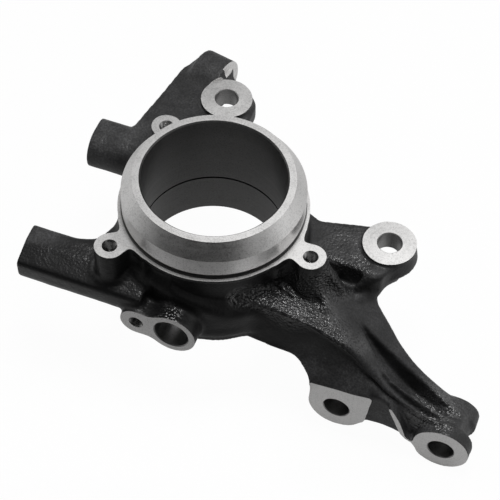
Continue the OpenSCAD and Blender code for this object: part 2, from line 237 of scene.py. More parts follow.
class FinishSettings(bpy.types.PropertyGroup):
    """Colours of the skin and of the bare iron."""

    skin: bpy.props.FloatVectorProperty(
        name="Cast skin", description="Black coat on the rough casting", subtype="COLOR",
        size=3, default=(0.008, 0.008, 0.0082), min=0, max=1)
    # This greyer colour is also the painted light on faces that look up and at the lighter spots
    grey_coat_and_painted_light_colour: bpy.props.FloatVectorProperty(
        name="Skin's dry patches", description="Greyer tone where the coat is thin or dusty",
        subtype="COLOR", size=3, default=(0.075, 0.075, 0.0765), min=0, max=1)
    iron: bpy.props.FloatVectorProperty(
        name="Bare iron", description="Fresh machined iron", subtype="COLOR",
        size=3, default=(0.56, 0.555, 0.55), min=0, max=1)


class StudioSettings(bpy.types.PropertyGroup):
    """Floor and light."""

    floor: bpy.props.FloatVectorProperty(
        name="Floor", description="Colour of the floor", subtype="COLOR", size=3,
        default=(0.85, 0.85, 0.85), min=0, max=1)
    glow: bpy.props.FloatProperty(
        name="White in gloss", description="How much of the white background a gloss or glass shows",
        default=0.25, min=0, max=1)
    world: bpy.props.FloatProperty(
        name="World light", description="Strength of the even light from all round", default=0.15, min=0)
    key_power: bpy.props.FloatProperty(
        name="Overhead light", description="Power of the large light overhead", default=1.9,
        min=0, unit="POWER")
    spark_power: bpy.props.FloatProperty(
        name="Small light", description="Power of the small light that makes the glints", default=8.0,
        min=0, unit="POWER")
    side_power: bpy.props.FloatProperty(
        name="Side lights", description="Power of each of the two side lights", default=3,
        min=0, unit="POWER")


# Distance fields


def rounded(corners, steps=8):
    """Outline through corners (x, y, radius), each corner an arc of its radius between its tangent points."""
    corners = [np.array(corner, float) for corner in corners]
    outline = []
    for before, corner, after in zip([corners[-1]] + corners[:-1], corners, corners[1:] + [corners[0]]):
        point, radius = corner[:2], corner[2]
        if radius <= 0:
            outline.append(point)
            continue
        u, v = before[:2] - point, after[:2] - point
        u, v = u / np.hypot(*u), v / np.hypot(*v)
        half = math.acos(np.clip(u @ v, -1, 1)) / 2
        centre = point + (u + v) / np.hypot(*(u + v)) * radius / math.sin(half)
        start, end = (point + way * radius / math.tan(half) - centre for way in (u, v))
        first = math.atan2(start[1], start[0])
        turn = (math.atan2(end[1], end[0]) - first + math.pi) % math.tau - math.pi
        angles = first + turn * np.linspace(0, 1, steps + 1)
        outline.extend(centre + radius * np.stack([np.cos(angles), np.sin(angles)], 1))
    return outline


def outline_distance(u, v, corners):
    """Distance to a closed outline, negative inside: the least distance to any edge, signed by how
    many edges a line to one side crosses. A corner's two numbers may be arrays."""
    nearest, inside = np.float32(1e9), False
    for (ax, ay), (bx, by) in zip(corners, corners[1:] + corners[:1]):
        ex, ey, wx, wy = bx - ax, by - ay, u - ax, v - ay
        along = np.clip((wx * ex + wy * ey) / (ex * ex + ey * ey + 1e-9), 0, 1)
        nearest = np.minimum(nearest, (wx - ex * along) ** 2 + (wy - ey * along) ** 2)
        rise = np.where(np.abs(ey) < 1e-9, 1e-9, ey)
        inside = inside ^ (((ay > v) != (by > v)) & (wx < ex * wy / rise))
    return np.sqrt(nearest) * np.where(inside, -1, 1)


def joined(a, b, radius):
    """Union of two fields with a hollow fillet: past both, the distance from the fillet's centre line."""
    if radius <= 0:
        return np.minimum(a, b)
    corner = np.hypot(np.maximum(radius - a, 0), np.maximum(radius - b, 0))
    return np.maximum(radius, np.minimum(a, b)) - corner


def common(a, b, radius):
    """Intersection of two fields, with its edge rounded."""
    return -joined(-a, -b, radius)


def extruded(flat, along, low, high, edge):
    """A flat field carried from one height to another, with its rims rounded."""
    p, q = flat + edge, np.abs(along - (low + high) / 2) - (high - low) / 2 + edge
    return np.minimum(np.maximum(p, q), 0) + np.hypot(np.maximum(p, 0), np.maximum(q, 0)) - edge


def disc(u, v, centre, radius):
    """Distance to a circle, negative inside."""
    return np.hypot(u - centre[0], v - centre[1]) - radius


def prism(axis, outline, low, high, edge):
    """Shape of an outline on the two axes other than the named one, carried along that one."""
    def shape(x, y, z):
        u, v, along = {"x": (y, z, x), "y": (x, z, y), "z": (x, y, z)}[axis]
        return extruded(outline_distance(u, v, outline), along, low, high, edge)
    return shape


def hub_shape(x, y, z):
    """Barrel, flange, neck and skirt turned about Z, with stock on what is machined later."""
    return outline_distance(np.hypot(x, y), z, [
        (0, STOCK), (FLANGE_R + 0.6, STOCK), (FLANGE_R + 0.6, FLANGE_Z - FLANGE_T),
        (NECK_R, FLANGE_Z - FLANGE_T - 2), (NECK_R, SKIRT_TOP + 4), (SKIRT_R - 1.5, SKIRT_TOP),
        (SKIRT_R, SKIRT_TOP - 3), (SKIRT_R, HUB_BOTTOM + 2.5), (SKIRT_R - 2.5, HUB_BOTTOM), (0, HUB_BOTTOM)])


def skirt_step_shape(x, y, z):
    """Space over the skirt beside the strut arm's root, with a floor that slopes down outwards and
    rises to the skirt's top on the left."""
    level, fall, rise, roof, back = -51.0, 1.1, 12, -30, -8
    radius, left = np.hypot(x, y), np.clip((30 - x) / 34, 0, 1)
    floor = level - fall * (1 - left) * np.maximum(radius - 48.5, 0) + rise * left
    ring = np.maximum(np.maximum((floor - z) * 0.7, z - roof), 47.5 + 2.5 * left - radius)
    return np.maximum(ring, y - back)


def lug_shape(centre):
    """Column of one dust shield lug: its round end and the flange joined by fillets, carried down."""
    pitch, turn = math.hypot(*centre), math.atan2(centre[1], centre[0])
    half_width, inner = 15, 42

    def shape(x, y, z):
        out = x * math.cos(turn) + y * math.sin(turn)
        across = y * math.cos(turn) - x * math.sin(turn)
        flat = joined(np.hypot(x, y) - FLANGE_R, disc(out, across, (pitch, 0), LUG_R), LUG_FILLET)
        flat = np.maximum(flat, np.maximum(np.abs(across) - half_width, inner - out))
        return extruded(flat, z, LUG_FOOT, FLANGE_Z + STOCK, 0.4)
    return shape


def stub_shape(stub, corners, inner_end):
    """Round stub along X, whose section's corners are steps from its axis and a radius."""
    section = rounded([(stub[1] + y, stub[2] + z, radius) for y, z, radius in corners])
    return prism("x", section, stub[0] - STOCK, inner_end, 0.6)


# Stub under the first lug, whose top falls faster on its near side, and the one under the plate
stub_a_shape = stub_shape(STUB_A, [
    (-13.2, 9, 3), (-12, -10.6, 12), (13.2, -12, 8), (13.2, 15.8, 4), (0.5, 14.6, 8)], -20)
stub_b_shape = stub_shape(STUB_B, [(-14.5, 14, 13), (-13.5, -11.6, 12), (14.5, -13, 9), (14.5, 14, 9)], -34)

# Web that joins both stubs to the barrel, and the gusset between the first stub's top and the barrel
stub_root_shape = prism("z", rounded([
    (-20, -50, 0), (-58, -40, 12), (-54, -6, 26), (-58, 36, 12), (-20, 52, 0)]), -72, -54, 2)
stub_gusset_shape = prism("z", rounded([
    (-36, -40, 0), (-68, -39, 0), (-57.5, -30, 12), (-51, -12, 0), (-36, -10, 0)]), -62, -45, 1)

# Steering arm's plate
plate_shape = prism("z", rounded([
    (-20, 40, 0), (-77.4, 44, 1.5), (-65.2, 117, 14), (-57.6, 128, 5), (-44, 127, 4),
    (-29.6, 115.4, 4), (-12, 104, 10), (-12, 84, 20), (14, 46, 0)]), PLATE_TOP - PLATE_T, PLATE_TOP, 1.2)

# Second caliper arm: its top and the broader foot under it
caliper_arm_top_shape = prism("z", rounded([
    (20, -9, 0), (64, -9, 0), (75, -4, 2), (75, 3.6, 1), (93, 2.8, 2), (101, 8, 4), (108, 16, 4),
    (104, 42, 12), (86, 38.4, 12), (54, 30.6, 5), (44, 35, 0), (20, 36, 0)]), -63, -48.5, 0.8)
caliper_arm_foot_shape = prism("z", rounded([
    (20, -10, 0), (92, -6, 2), (99, 4, 6), (92, 24, 20), (60, 29, 20), (20, 32, 0)]), HUB_BOTTOM + 4, -61, 2)

# Three-cornered pocket between the second lug's rib and the caliper arm
pocket_shape = prism("z", rounded([(74.5, 4.4, 1), (92, 3.2, 1), (87, -6, 2), (78, -4, 1)], 4), -62, -40, 0)

# Low place on the tab's near side, beside the first machined face
first_relief_shape = prism("y", [
    (115.8, -88), (112.8, -114), (106, -140), (152, -140), (147, -126.5), (139.4, -122.4),
    (134.4, -116.6), (129, -104), (122, -88)], TAB_NEAR - 6, TAB_NEAR + 1.6, 0)


def tie_boss_shape(x, y, z):
    """Tie rod boss: a cylinder that lies across the plate's end, a little turned, with stock on its
    faced end."""
    u = (x - TIE_MIDDLE[0]) * TIE_AXIS[0] + (y - TIE_MIDDLE[1]) * TIE_AXIS[1]
    w = (y - TIE_MIDDLE[1]) * TIE_AXIS[0] - (x - TIE_MIDDLE[0]) * TIE_AXIS[1]
    return outline_distance(np.hypot(w, z - TIE[2]), u, [
        (0, -TIE_HALF - 1), (TIE_R - 5, -TIE_HALF - 1), (TIE_R, -TIE_HALF + 0.5),
        (TIE_R, TIE_HALF + STOCK), (0, TIE_HALF + STOCK)])


def caliper_boss_shape(centre):
    """Caliper boss with a foot that widens downwards."""
    low = CALIPER_Z - CALIPER_BOSS_T

    def shape(x, y, z):
        return outline_distance(np.hypot(x - centre[0], y - centre[1]), z, [
            (0, CALIPER_Z + STOCK), (CALIPER_BOSS_R, CALIPER_Z + STOCK), (CALIPER_BOSS_R, CALIPER_Z - 3),
            (CALIPER_BOSS_R + 1.6, low), (0, low)])
    return shape


def stations_at(stations, x):
    """Each column of a table of stations at the places x, eased by a running mean over 7 mm of X."""
    line, side = np.arange(stations[0, 0], stations[-1, 0] + 1), 3
    ease = np.ones(2 * side + 1) / (2 * side + 1)
    columns = []
    for column in stations[:, 1:].T:
        padded = np.pad(np.interp(line, stations[:, 0], column), side, "edge")
        columns.append(np.interp(x, line, np.convolve(padded, ease, "valid")))
    return columns


def strut_arm_shape(x, y, z):
    """Strut arm: a section of nine corners that changes along X, cut below by the arm's side view."""
    ridge, near, far, crest_drop, far_drop, shoulder, tab_top = stations_at(ARM_STATIONS, x)
    far_ridge, lip, foot = ridge - far_drop, 1.8, -150.0
    body = outline_distance(y, z, [
        (near + 0.9 * crest_drop, ridge), (near, ridge - crest_drop * 0.8),
        (near + 0.8 * crest_drop, ridge - crest_drop - 2.4), (near - 1.2, shoulder),
        (TAB_NEAR - STOCK, tab_top), (TAB_NEAR - STOCK, foot), (far, foot),
        (far, far_ridge - lip), (far - lip, far_ridge)])
    side = outline_distance(x, z, rounded([
        (22, -40, 0), (150, -80, 0), (167, -101, 8), (168.5, -124, 8), (160, -133, 10),
        (146, -124, 14), (126, -115.6, 30), (110, -117.8, 10), (93, -130, 14), (79, -115, 12),
        (78, -94, 14), (66, -84, 14), (40, -83, 10), (22, -79, 0)]))
    under = outline_distance(x, z, rounded([
        (70, -150, 0), (70, -90, 4), (92, -94, 8), (113, -97, 10), (130, -108, 6), (136, -150, 0)]))
    return common(common(body, side, 1.5), -np.maximum(under, TAB_FAR - 2 - y), 3)


def channel_shape(x, y, z):
    """Hollow between the arm's ribs, open at the top, its walls leaning apart from the floor up."""
    ridge, *_ = stations_at(ARM_STATIONS, x)
    near, far, depth = stations_at(CHANNEL_STATIONS, x)
    lean, over = 0.16 * depth, 7.0
    return outline_distance(y, z, [
        (near - 1.2, ridge + over), (near, ridge), (near + lean, ridge - depth),
        (far - lean, ridge - depth), (far, ridge), (far + 1.2, ridge + over)])


def groove_shape(x, y, z):
    """Narrow groove along the arm, open at the top."""
    ridge, *_ = stations_at(ARM_STATIONS, x)
    middle, half, depth = stations_at(GROOVE_STATIONS, x)
    return outline_distance(y, z, [
        (middle - half * 1.8, ridge + 4), (middle - half * 0.4, ridge - depth),
        (middle + half * 0.4, ridge - depth), (middle + half * 1.2, ridge + 4)])


def strut_boss_shape(centre, radius, low, high):
    """Round boss across the tab."""
    def shape(x, y, z):
        return extruded(disc(x, z, centre, radius), y, low, high, 0.5)
    return shape


def second_relief_shape(x, y, z):
    """Lower place past a curved edge, round the second boss."""
    section = rounded([
        (124, -88, 0), (133.6, -106, 40), (137.6, -118, 5), (146, -123, 0), (152, -140, 0),
        (190, -140, 0), (190, -88, 0)])
    flat = np.maximum(outline_distance(x, z, section), -disc(x, z, STRUTS[1], STRUT_BOSS_R))
    return extruded(flat, y, TAB_NEAR - 6, TAB_NEAR + 5, 0)


def lug_rib_shape(x, y, z):
    """Rib that runs from the second lug down to the strut arm, with a gentle slope on its near side."""
    turn, thickness = math.radians(26), 7.0
    out = (x - LUGS[1][0]) * math.cos(turn) + (y - LUGS[1][1]) * math.sin(turn)
    across = (y - LUGS[1][1]) * math.cos(turn) - (x - LUGS[1][0]) * math.sin(turn)
    section = [(0, -26), (8.5, -27.5), (23, -59), (23.5, -68), (0, -68)]
    rib = extruded(outline_distance(out, z, section), across, -thickness / 2, thickness / 2, 1.5)
    slope = [(6, -44), (10, -45), (24, -60), (24, -70), (6, -70)]
    fall = 0.8 * np.minimum(across + 1, 0)
    return joined(rib, extruded(outline_distance(out, z - fall, slope), across, -15, 1, 0), 3)


def ball(x, y, z, centre, radius):
    """Distance to a ball; its centre's numbers may be arrays."""
    return np.sqrt((x - centre[0]) ** 2 + (y - centre[1]) ** 2 + (z - centre[2]) ** 2) - radius


def cast_ridge_shape(x, y, z):
    """Short low ridge on the strut arm's root: a ball carried along a line."""
    start, way, level = (46.8, -21.0), (10.6, -4.4), -48.8
    part = ((x - start[0]) * way[0] + (y - start[1]) * way[1]) / (way[0] ** 2 + way[1] ** 2)
    part = np.clip(part, 0, 1)
    return ball(x, y, z, (start[0] + part * way[0], start[1] + part * way[1], level), 1.6)


def root_hollow_shape(x, y, z):
    """Shallow hollow beside that ridge."""
    return ball(x, y, z, (48.5, -25.5, -45.5), 5.6)


def web_shape(x, y, z):
    """Sloping web that closes the pocket on its right: below a plane, within an outline."""
    slope = 0.0687 * (x - 89.4) + 0.839 * (y - 3.1) - 0.5395 * (z + 49)
    section = outline_distance(x, y, [(84, -4.4), (96, 1.6), (100.5, 4.5), (101, 10), (94, 10)])
    return extruded(np.maximum(section, -slope), z, -66, -49, 0.5)


def sensor_boss_shape(x, y, z):
    """Sensor boss: two round pads joined in a figure of eight."""
    flat = joined(disc(x, z, SENSOR, SENSOR_PAD_R), disc(x, z, SENSOR_SCREW, SCREW_PAD_R), 8)
    return extruded(flat, y, SENSOR_Y - STOCK, -40, 0.4)


def barrel_foot_shape(x, y, z):
    """Foot that hangs below the barrel, beside the sensor boss."""
    turned = outline_distance(np.hypot(x, y), z, [(43, -80.8), (54.4, -80.8), (54.4, -71), (43, -71)])
    angle = np.degrees(np.arctan2(y, x))
    return np.maximum(turned, np.maximum(-84 - angle, angle + 48) * 0.9)


class CastField:
    """Distances to the casting's skin on a regular grid, negative inside the iron."""

    def __init__(self, low, high, step):
        self.low, self.step = np.array(low, float), step
        counts = np.ceil((np.array(high) - self.low) / step).astype(int) + 1
        self.axes = [self.low[i] + step * np.arange(counts[i]) for i in range(3)]
        self.values = np.full(counts, OUTSIDE, np.float32)

    def window(self, low, high):
        """The part of the grid between two corners, with its coordinates along each axis."""
        cut = tuple(slice(*np.searchsorted(axis, ends)) for axis, ends in zip(self.axes, zip(low, high)))
        x, y, z = (axis[part].astype(np.float32) for axis, part in zip(self.axes, cut))
        return cut, x[:, None, None], y[None, :, None], z[None, None, :]

    def add(self, shape, low, high, fillet):
        """Joins a shape to the iron, within a window and with a fillet."""
        cut, x, y, z = self.window(low, high)
        self.values[cut] = joined(self.values[cut], shape(x, y, z), fillet)

    def take(self, shape, low, high, fillet):
        """Cuts a shape from the iron, with the edge rounded."""
        cut, x, y, z = self.window(low, high)
        self.values[cut] = -joined(-self.values[cut], shape(x, y, z), fillet)

    def soften(self, passes):
        """Weighted mean of three along each axis in turn, which rounds every edge as sand does."""
        for _ in range(passes):
            for axis in range(3):
                v = np.moveaxis(self.values, axis, 0)
                v[1:-1] = (v[:-2] + 4 * v[1:-1] + v[2:]) / 6

    def roughen(self, height, spacing, seed):
        """Adds value noise: random heights on a coarse lattice, eased between by a smooth step."""
        counts = [int(np.ceil((axis[-1] - axis[0]) / spacing)) + 2 for axis in self.axes]
        noise = np.random.default_rng(seed).uniform(-1, 1, counts).astype(np.float32)
        for i, axis in enumerate(self.axes):
            place = (axis - axis[0]) / spacing
            first = place.astype(int)
            part = (place - first).astype(np.float32)
            part = part * part * (3 - 2 * part)
            shape = [1, 1, 1]
            shape[i] = -1
            part = part.reshape(shape)
            noise = np.take(noise, first, i) * (1 - part) + np.take(noise, first + 1, i) * part
        self.values += height * noise

    def skin(self):
        """Naive surface net: a vertex in each cell that the skin crosses, at the mean of the
        crossings on the cell's edges, and a quad round each grid edge that the skin crosses."""
        values, counts = self.values, np.array(self.values.shape)
        inside = values < 0
        strides = np.array([counts[1] * counts[2], counts[2], 1])
        cells, places, flips = [], [], []
        for axis in range(3):
            b, c = (axis + 1) % 3, (axis + 2) % 3
            head = [slice(1, -1)] * 3
            tail = list(head)
            head[axis], tail[axis] = slice(0, -1), slice(1, None)
            head, tail = tuple(head), tuple(tail)
            spot = np.argwhere(inside[head] != inside[tail])
            offset = np.ones(3, int)
            offset[axis] = 0
            spot = spot + offset
            start = values[tuple(spot.T)]
            after = spot.copy()
            after[:, axis] += 1
            end = values[tuple(after.T)]
            place = spot.astype(float)
            place[:, axis] += start / (start - end)
            ring = [(0, 0), (1, 0), (1, 1), (0, 1)]
            cell = np.stack([spot @ strides - db * strides[b] - dc * strides[c] for db, dc in ring], 1)
            turned = start > 0
            cell[turned] = cell[turned][:, ::-1]
            cells.append(cell)
            places.append(np.repeat(place[:, None], 4, 1))
        cells, places = np.concatenate(cells), np.concatenate(places)
        _, quads = np.unique(cells, return_inverse=True)
        quads = quads.reshape(-1)
        count = np.bincount(quads)
        sums = [np.bincount(quads, places.reshape(-1, 3)[:, i]) / count for i in range(3)]
        return self.low + self.step * np.stack(sums, 1), quads.reshape(-1, 4)


def cast_arm(low, high, step):
    """Field of the strut arm with its bosses, hollow, groove and reliefs. Each shape is worked out only
    in the window between two corners that hold it."""
    arm, reach = CastField(low, high, step), 24
    arm.add(strut_arm_shape, (16, -58, -144), (182, 20, -40), 0)
    arm.take(channel_shape, (92, -44, -120), (174, -8, -44), 1)
    arm.take(groove_shape, (110, -46, -116), (170, -30, -70), 0.5)
    for centre in STRUTS:
        (left, bottom), (right, top) = centre - reach, centre + reach
        for middle, radius, near, far, fillet in (
                (centre, STRUT_BOSS_R, TAB_NEAR - STOCK, TAB_NEAR + 9, 1.5),
                (centre, STRUT_BOSS_R - 4.5, TAB_NEAR + 3, TAB_FAR - 3, 3),
                (centre + FAR_BOSS_SHIFT, FAR_BOSS_R, TAB_FAR - 10, TAB_FAR + STOCK, 2)):
            boss = strut_boss_shape(middle, radius, near, far)
            arm.add(boss, (left, -58, bottom), (right, -8, top), fillet)
    arm.take(first_relief_shape, (100, -58, -144), (144, -38, -84), 0.5)
    arm.take(second_relief_shape, (118, -58, -144), (190, -38, -84), 1)
    arm.take(pocket_shape, (52, -14, -70), (100, 20, -36), 2)
    return arm


def cast_knuckle(settings):
    """The raw casting, with stock on its machined faces, as vertices in millimetres and quads."""
    low, high, step = CAD_BOX[0] / MM - 6, CAD_BOX[1] / MM + 6, settings.step / MM
    field, fillet, reach = CastField(low, high, step), settings.fillet / MM, 24
    field.add(hub_shape, (-62, -62, -84), (62, 62, 6), 0)
    field.take(skirt_step_shape, (-4, -62, -72), (62, 0, -26), 2)
    field.add(stub_root_shape, (-66, -62, -80), (-12, 62, -46), fillet)
    field.add(stub_b_shape, (-104, 24, -84), (-24, 70, -40), fillet)
    field.add(plate_shape, (-86, 34, -70), (24, 136, -42), 2.5)
    field.add(tie_boss_shape, (-70, 96, -80), (-28, 140, -36), 5)
    field.add(caliper_boss_shape(CALIPERS[0]), (-54, 72, -66), (-6, 122, -38), 1.5)
    field.add(caliper_arm_foot_shape, (12, -18, -80), (108, 42, -46), fillet)
    field.add(caliper_arm_top_shape, (12, 4, -68), (118, 52, -42), 2)
    field.add(caliper_boss_shape(CALIPERS[1]), (72, 4, -66), (122, 52, -38), 1.5)
    field.values = joined(field.values, cast_arm(low, high, step).values, fillet)
    field.take(pocket_shape, (52, -14, -70), (100, 20, -36), 1)
    field.add(web_shape, (72, -16, -76), (114, 20, -40), 3)
    for lug in LUGS:
        field.add(lug_shape(lug), (*(lug - reach), -66), (*(lug + reach), -14), 2.5)
    field.add(stub_gusset_shape, (-76, -48, -68), (-30, -4, -38), 3)
    field.add(stub_a_shape, (-106, -70, -82), (-12, -28, -36), fillet)
    field.add(lug_rib_shape, (52, -34, -76), (98, 14, -18), 3)
    field.take(root_hollow_shape, (36, -34, -58), (62, -10, -38), 1)
    field.add(cast_ridge_shape, (38, -34, -58), (66, -10, -42), 0.6)
    field.add(sensor_boss_shape, (-42, -74, -88), (24, -32, -44), 2.5)
    field.add(barrel_foot_shape, (0, -62, -88), (48, -30, -66), 2)
    field.soften(1)
    field.roughen(settings.lump_height / MM, 9, settings.seed)
    field.roughen(settings.lump_height / MM / 2, 4, settings.seed + 1)
    return field.skin()


# Machining


def turned_tool(profile, sides, thread=None):
    """A tool turned about Z: the profile's points (radius, height) carried round in even steps, each
    row's radius times the angle's cosine and sine. A thread adds a triangular wave to the rows that it
    covers, one turn to a pitch. Returns vertices, faces and each vertex's radius and height."""
    profile = np.array(profile, float)
    angle = np.linspace(0, math.tau, sides, endpoint=False)
    radius = np.repeat(profile[:, :1], sides, 1)
    height = np.repeat(profile[:, 1:], sides, 1)
    if thread:
        depth, pitch, top, bottom = thread
        wave = np.abs((height / pitch - angle / math.tau) % 1 - 0.5) * 2
        radius = radius + depth * wave * ((height < top) & (height > bottom))
    vertices = np.stack([radius * np.cos(angle), radius * np.sin(angle), height], 2).reshape(-1, 3)
    i, j = np.meshgrid(np.arange(len(profile) - 1), np.arange(sides), indexing="ij")
    right = (j + 1) % sides
    faces = np.stack([i * sides + j, i * sides + right, (i + 1) * sides + right, (i + 1) * sides + j], 2)
    return vertices, faces.reshape(-1, 4).tolist(), np.stack([radius.ravel(), height.ravel()], 1)


def block_tool(low, high, thickness):
    """A square block from one corner of its outline to the other, closed by fans about its middle.
    Its tool marks run across it."""
    outline = np.array([low, (high[0], low[1]), high, (low[0], high[1])], float)
    count, middle = len(outline), outline.mean(0)
    rims = [np.c_[outline, np.full(count, height)] for height in (thickness, 0)]
    vertices = np.concatenate([*rims, [[*middle, thickness], [*middle, 0]]])
    j = np.arange(count)
    right = (j + 1) % count
    sides = np.stack([j, right, right + count, j + count], 1)
    top = np.stack([right, j, np.full(count, 2 * count)], 1)
    bottom = np.stack([j + count, right + count, np.full(count, 2 * count + 1)], 1)
    return vertices, sides.tolist() + top.tolist() + bottom.tolist(), vertices[:, [0, 2]]


def turning_tool(settings):
    """Turns the end face, cone, pilot, flange face and lug faces."""
    out, top = 80.0, 8.0
    return turned_tool([
        (0, top), (out, top), (out, FLANGE_Z), (PILOT_R - 1, FLANGE_Z), (PILOT_R, FLANGE_Z + 1),
        (PILOT_R, -CONE_DEPTH), (FACE_R, 0), (0, 0)], settings.hub_sides)


def relief_tool(settings):
    """Cuts the groove at the foot of the pilot, which leaves a thin lip on the flange."""
    return turned_tool([
        (PILOT_R + 0.5, FLANGE_Z + 0.4), (PILOT_R + 0.4, RELIEF_Z), (RELIEF_R, RELIEF_Z),
        (RELIEF_R, -PILOT_DEPTH - 1), (PILOT_R, -PILOT_DEPTH), (PILOT_R + 0.5, -PILOT_DEPTH),
        (PILOT_R + 0.5, FLANGE_Z + 0.4)], settings.hub_sides)


def boring_tool(settings):
    """Bores the hub, with a chamfer at each mouth and the groove of the bearing's ring."""
    chamfer, over = 0.8, 4.0
    return turned_tool([
        (0, over), (BORE_R + chamfer + over, over), (BORE_R, -chamfer), (BORE_R, GROOVE_TOP),
        (GROOVE_R, GROOVE_TOP), (GROOVE_R, GROOVE_TOP - GROOVE_W), (BORE_R, GROOVE_TOP - GROOVE_W),
        (BORE_R, HUB_BOTTOM + chamfer), (BORE_R + chamfer + over, HUB_BOTTOM - over),
        (0, HUB_BOTTOM - over)], settings.hub_sides)


def facing_tool(radius, sides):
    """Faces a boss flat."""
    over = 12
    return turned_tool([(0, over), (radius, over), (radius, 0), (0, 0)], sides)


def crowned_tool(radius, sides):
    """Faces a boss with a slight crown."""
    over, crown = 6, 0.3
    return turned_tool([(0, over), (radius, over), (radius, -crown), (radius * 0.4, 0), (0, 0)], sides)


def drilled_mouth(radius, mouth):
    """Start of a drill's profile: a chamfered mouth that stands a little out of the face."""
    over = 3
    return [(0, over), (radius + mouth, over), (radius + mouth, 0), (radius, -mouth)]


def back_tool(hole_r, depth, back_r, sides):
    """Drills a chamfered hole through a boss and faces the boss's other side."""
    clear = 18
    return turned_tool([
        *drilled_mouth(hole_r, 0.5), (hole_r, -depth), (back_r, -depth), (back_r, -depth - clear),
        (0, -depth - clear)], sides)


def hole_tool(hole_r, depth, sides, mouth=0.5):
    """Drills a chamfered hole with a pointed end."""
    return turned_tool([*drilled_mouth(hole_r, mouth), (hole_r, -depth), (0, -depth - hole_r * 0.5)], sides)


def thread_tool(core_r, depth, pitch, sides):
    """Drills a countersunk hole and cuts a thread in its first turns, each turn of so many rows."""
    height, turns, rows, over = 0.61 * pitch, 7, 7, 3
    mouth, start = core_r + height + 0.2, height + 0.3
    cut = [(core_r, -z) for z in start + np.arange(turns * rows + 1) * pitch / rows]
    return turned_tool([
        (0, over), (mouth, over), (mouth, 0), *cut, (core_r, -depth), (0, -depth - core_r * 0.5)],
        sides, (height, pitch, -height - 0.35, -height - turns * pitch))


def along(axis, place):
    """Matrix that stands a tool's Z on an axis, at a place in millimetres."""
    z = Vector(axis).normalized()
    x = Vector((0, 0, 1)).cross(z)
    x = x.normalized() if x.length > 0.1 else Vector((1, 0, 0))
    turn = Matrix((x, z.cross(x), z)).transposed().to_4x4()
    turn.translation = Vector(place)
    return turn


def knuckle_tools(settings):
    """Every tool of the machining, as (name, tool, stand, finish)."""
    sides, thread_sides, stub_sides = settings.hole_sides, 32, 36
    pitch, stub_pitch = settings.thread_pitch / MM, settings.thread_pitch / MM * 1.4
    up, near, far, left, origin = (0, 0, 1), (0, -1, 0), (0, 1, 0), (-1, 0, 0), (0, 0, 0)
    tools = []

    def use(name, finish, tool, axis, place):
        """Adds a tool that stands on an axis at a place."""
        tools.append((name, tool, along(axis, place), finish))

    use("hub_turning", "turned", turning_tool(settings), up, origin)
    use("hub_relief", "drilled", relief_tool(settings), up, origin)
    use("hub_boring", "bored", boring_tool(settings), up, origin)
    for i, (x, y) in enumerate(LUGS, 1):
        thread = thread_tool(LUG_HOLE_R, LUG_HOLE_DEPTH, pitch, thread_sides)
        use(f"lug_thread_{i}", "threaded", thread, up, (x, y, FLANGE_Z))
    for i, (x, y) in enumerate(CALIPERS, 1):
        facing = crowned_tool(CALIPER_BOSS_R + 0.25, sides)
        bore = back_tool(CALIPER_HOLE_R, CALIPER_BOSS_T, SPOTFACE_R, sides)
        use(f"caliper_facing_{i}", "milled", facing, up, (x, y, CALIPER_Z))
        use(f"caliper_bore_{i}", "drilled", bore, up, (x, y, CALIPER_Z))
    use("strut_facing", "faced", block_tool((62, -150), (190, -82), 14), near, (0, TAB_NEAR, 0))
    for i, (x, z) in enumerate(STRUTS, 1):
        bore, facing = hole_tool(STRUT_HOLE_R, TAB_FAR - TAB_NEAR + 4, sides), facing_tool(FAR_FACE_R, sides)
        far_x, far_z = (x, z) + FAR_BOSS_SHIFT
        use(f"strut_bore_{i}", "drilled", bore, near, (x, TAB_NEAR, z))
        use(f"strut_far_face_{i}", "milled", facing, far, (far_x, TAB_FAR, far_z))
    screw = thread_tool(SCREW_R, SCREW_DEPTH, pitch, thread_sides)
    use("sensor_facing", "milled", block_tool((-46, -92), (24, -40), 14), near, (0, SENSOR_Y, 0))
    use("sensor_bore", "drilled", hole_tool(SENSOR_R, SENSOR_END - SENSOR_Y, sides, 0.6),
        near, (SENSOR[0], SENSOR_Y, SENSOR[1]))
    use("sensor_thread", "threaded", screw, near, (SENSOR_SCREW[0], SENSOR_Y, SENSOR_SCREW[1]))
    for name, stub in (("stub_a", STUB_A), ("stub_b", STUB_B)):
        thread = thread_tool(STUB_HOLE_R, STUB_HOLE_DEPTH, stub_pitch, stub_sides)
        use(f"{name}_facing", "milled", facing_tool(STUB_FACE_R, sides), left, stub)
        use(f"{name}_thread", "drilled", thread, left, stub)
    depth = TIE_END - TIE[0] + 6
    use("tie_rod_taper", "drilled", turned_tool([
        (0, 8), (TIE_WIDE_R + 0.5, 8), (TIE_WIDE_R + 0.5, 0), (TIE_WIDE_R, -0.5),
        (TIE_NARROW_R, -depth), (0, -depth)], sides), left, TIE)
    # The plate's corner stands before the boss's faced end, so that end is faced in two blocks
    end = (*(TIE_MIDDLE + TIE_AXIS * TIE_HALF), TIE[2])
    use("tie_facing_1", "milled", block_tool((-2, 9.8), (18, 18), 6), (*TIE_AXIS, 0), end)
    use("tie_facing_2", "milled", block_tool((6.8, -18), (18, 9.9), 6), (*TIE_AXIS, 0), end)
    return tools


def values_of(items, name, kind=np.float32, width=1):
    """One value of each of a mesh's items as an array, or a row of so many."""
    found = np.empty(len(items) * width, kind)
    items.foreach_get(name, found)
    return found.reshape(-1, width) if width > 1 else found


def mesh_of(name, vertices, faces, marks):
    """A mesh in metres from millimetres, with each vertex's place on its tool as the UV map "marks"."""
    mesh = bpy.data.meshes.new(name)
    mesh.from_pydata((vertices * MM).tolist(), [], faces)
    corner = values_of(mesh.loops, "vertex_index", np.int32)
    layer = mesh.uv_layers.new(name="marks")
    layer.data.foreach_set("uv", np.asarray(marks, np.float32)[corner].ravel() * 0.1)
    return mesh


